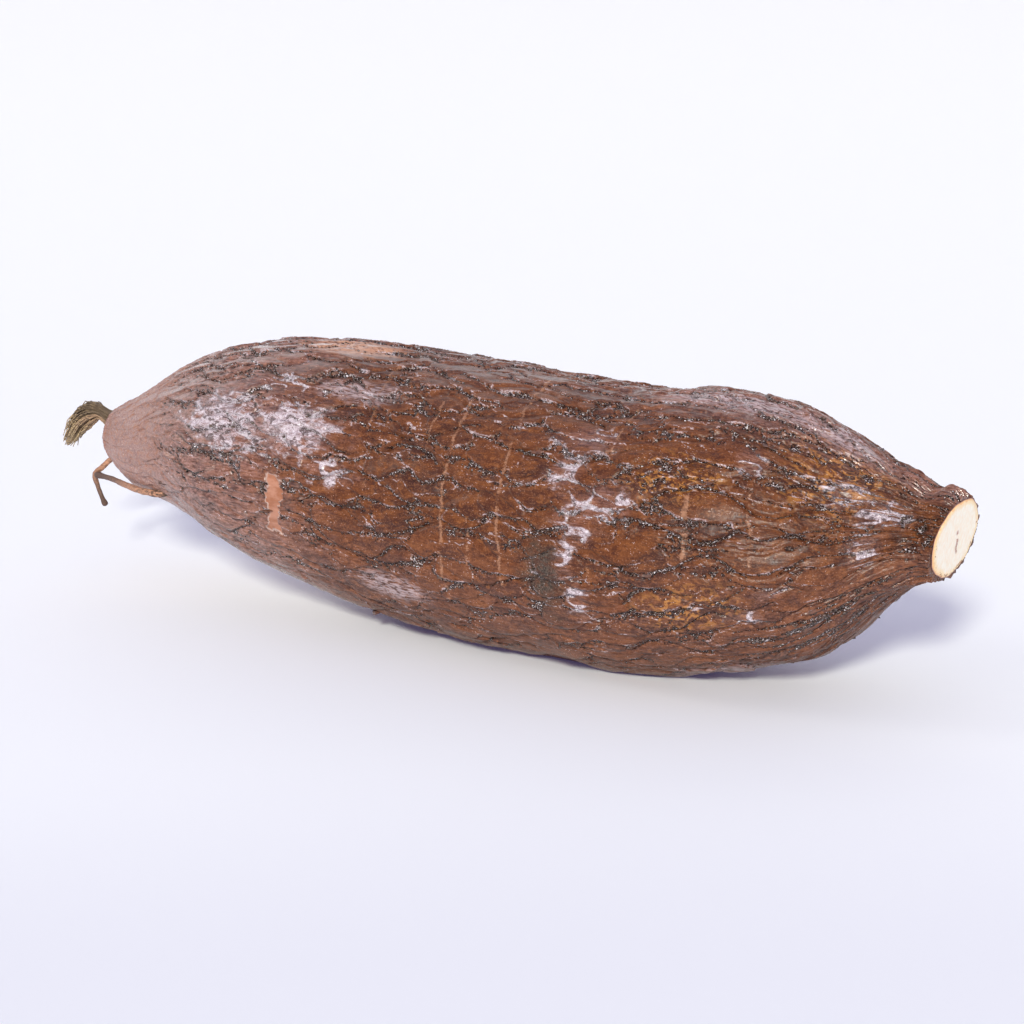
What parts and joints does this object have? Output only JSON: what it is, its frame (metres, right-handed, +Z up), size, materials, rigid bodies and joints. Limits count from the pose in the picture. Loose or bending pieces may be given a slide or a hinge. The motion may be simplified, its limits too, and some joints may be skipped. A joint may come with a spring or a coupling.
{
  "type": "cassava root",
  "caption": "Waxed cassava root with its bark on, cut across at the stem end, with a fibrous tuft and thin rootlets at the tail, lying on its side.",
  "frame": {"origin": "middle of the flat spot on the underside that the root lies on", "axes": "+X along the root towards the cut stem end, +Z up, -Y the side that the picture shows most of"},
  "size_m": [0.302, 0.0857, 0.0806],
  "materials": {
    "bark": "rough reddish-brown bark under a thin coat of clear wax"
  },
  "bodies": {
    "root": {"cassava_root": "bark"}
  },
  "joints": []
}
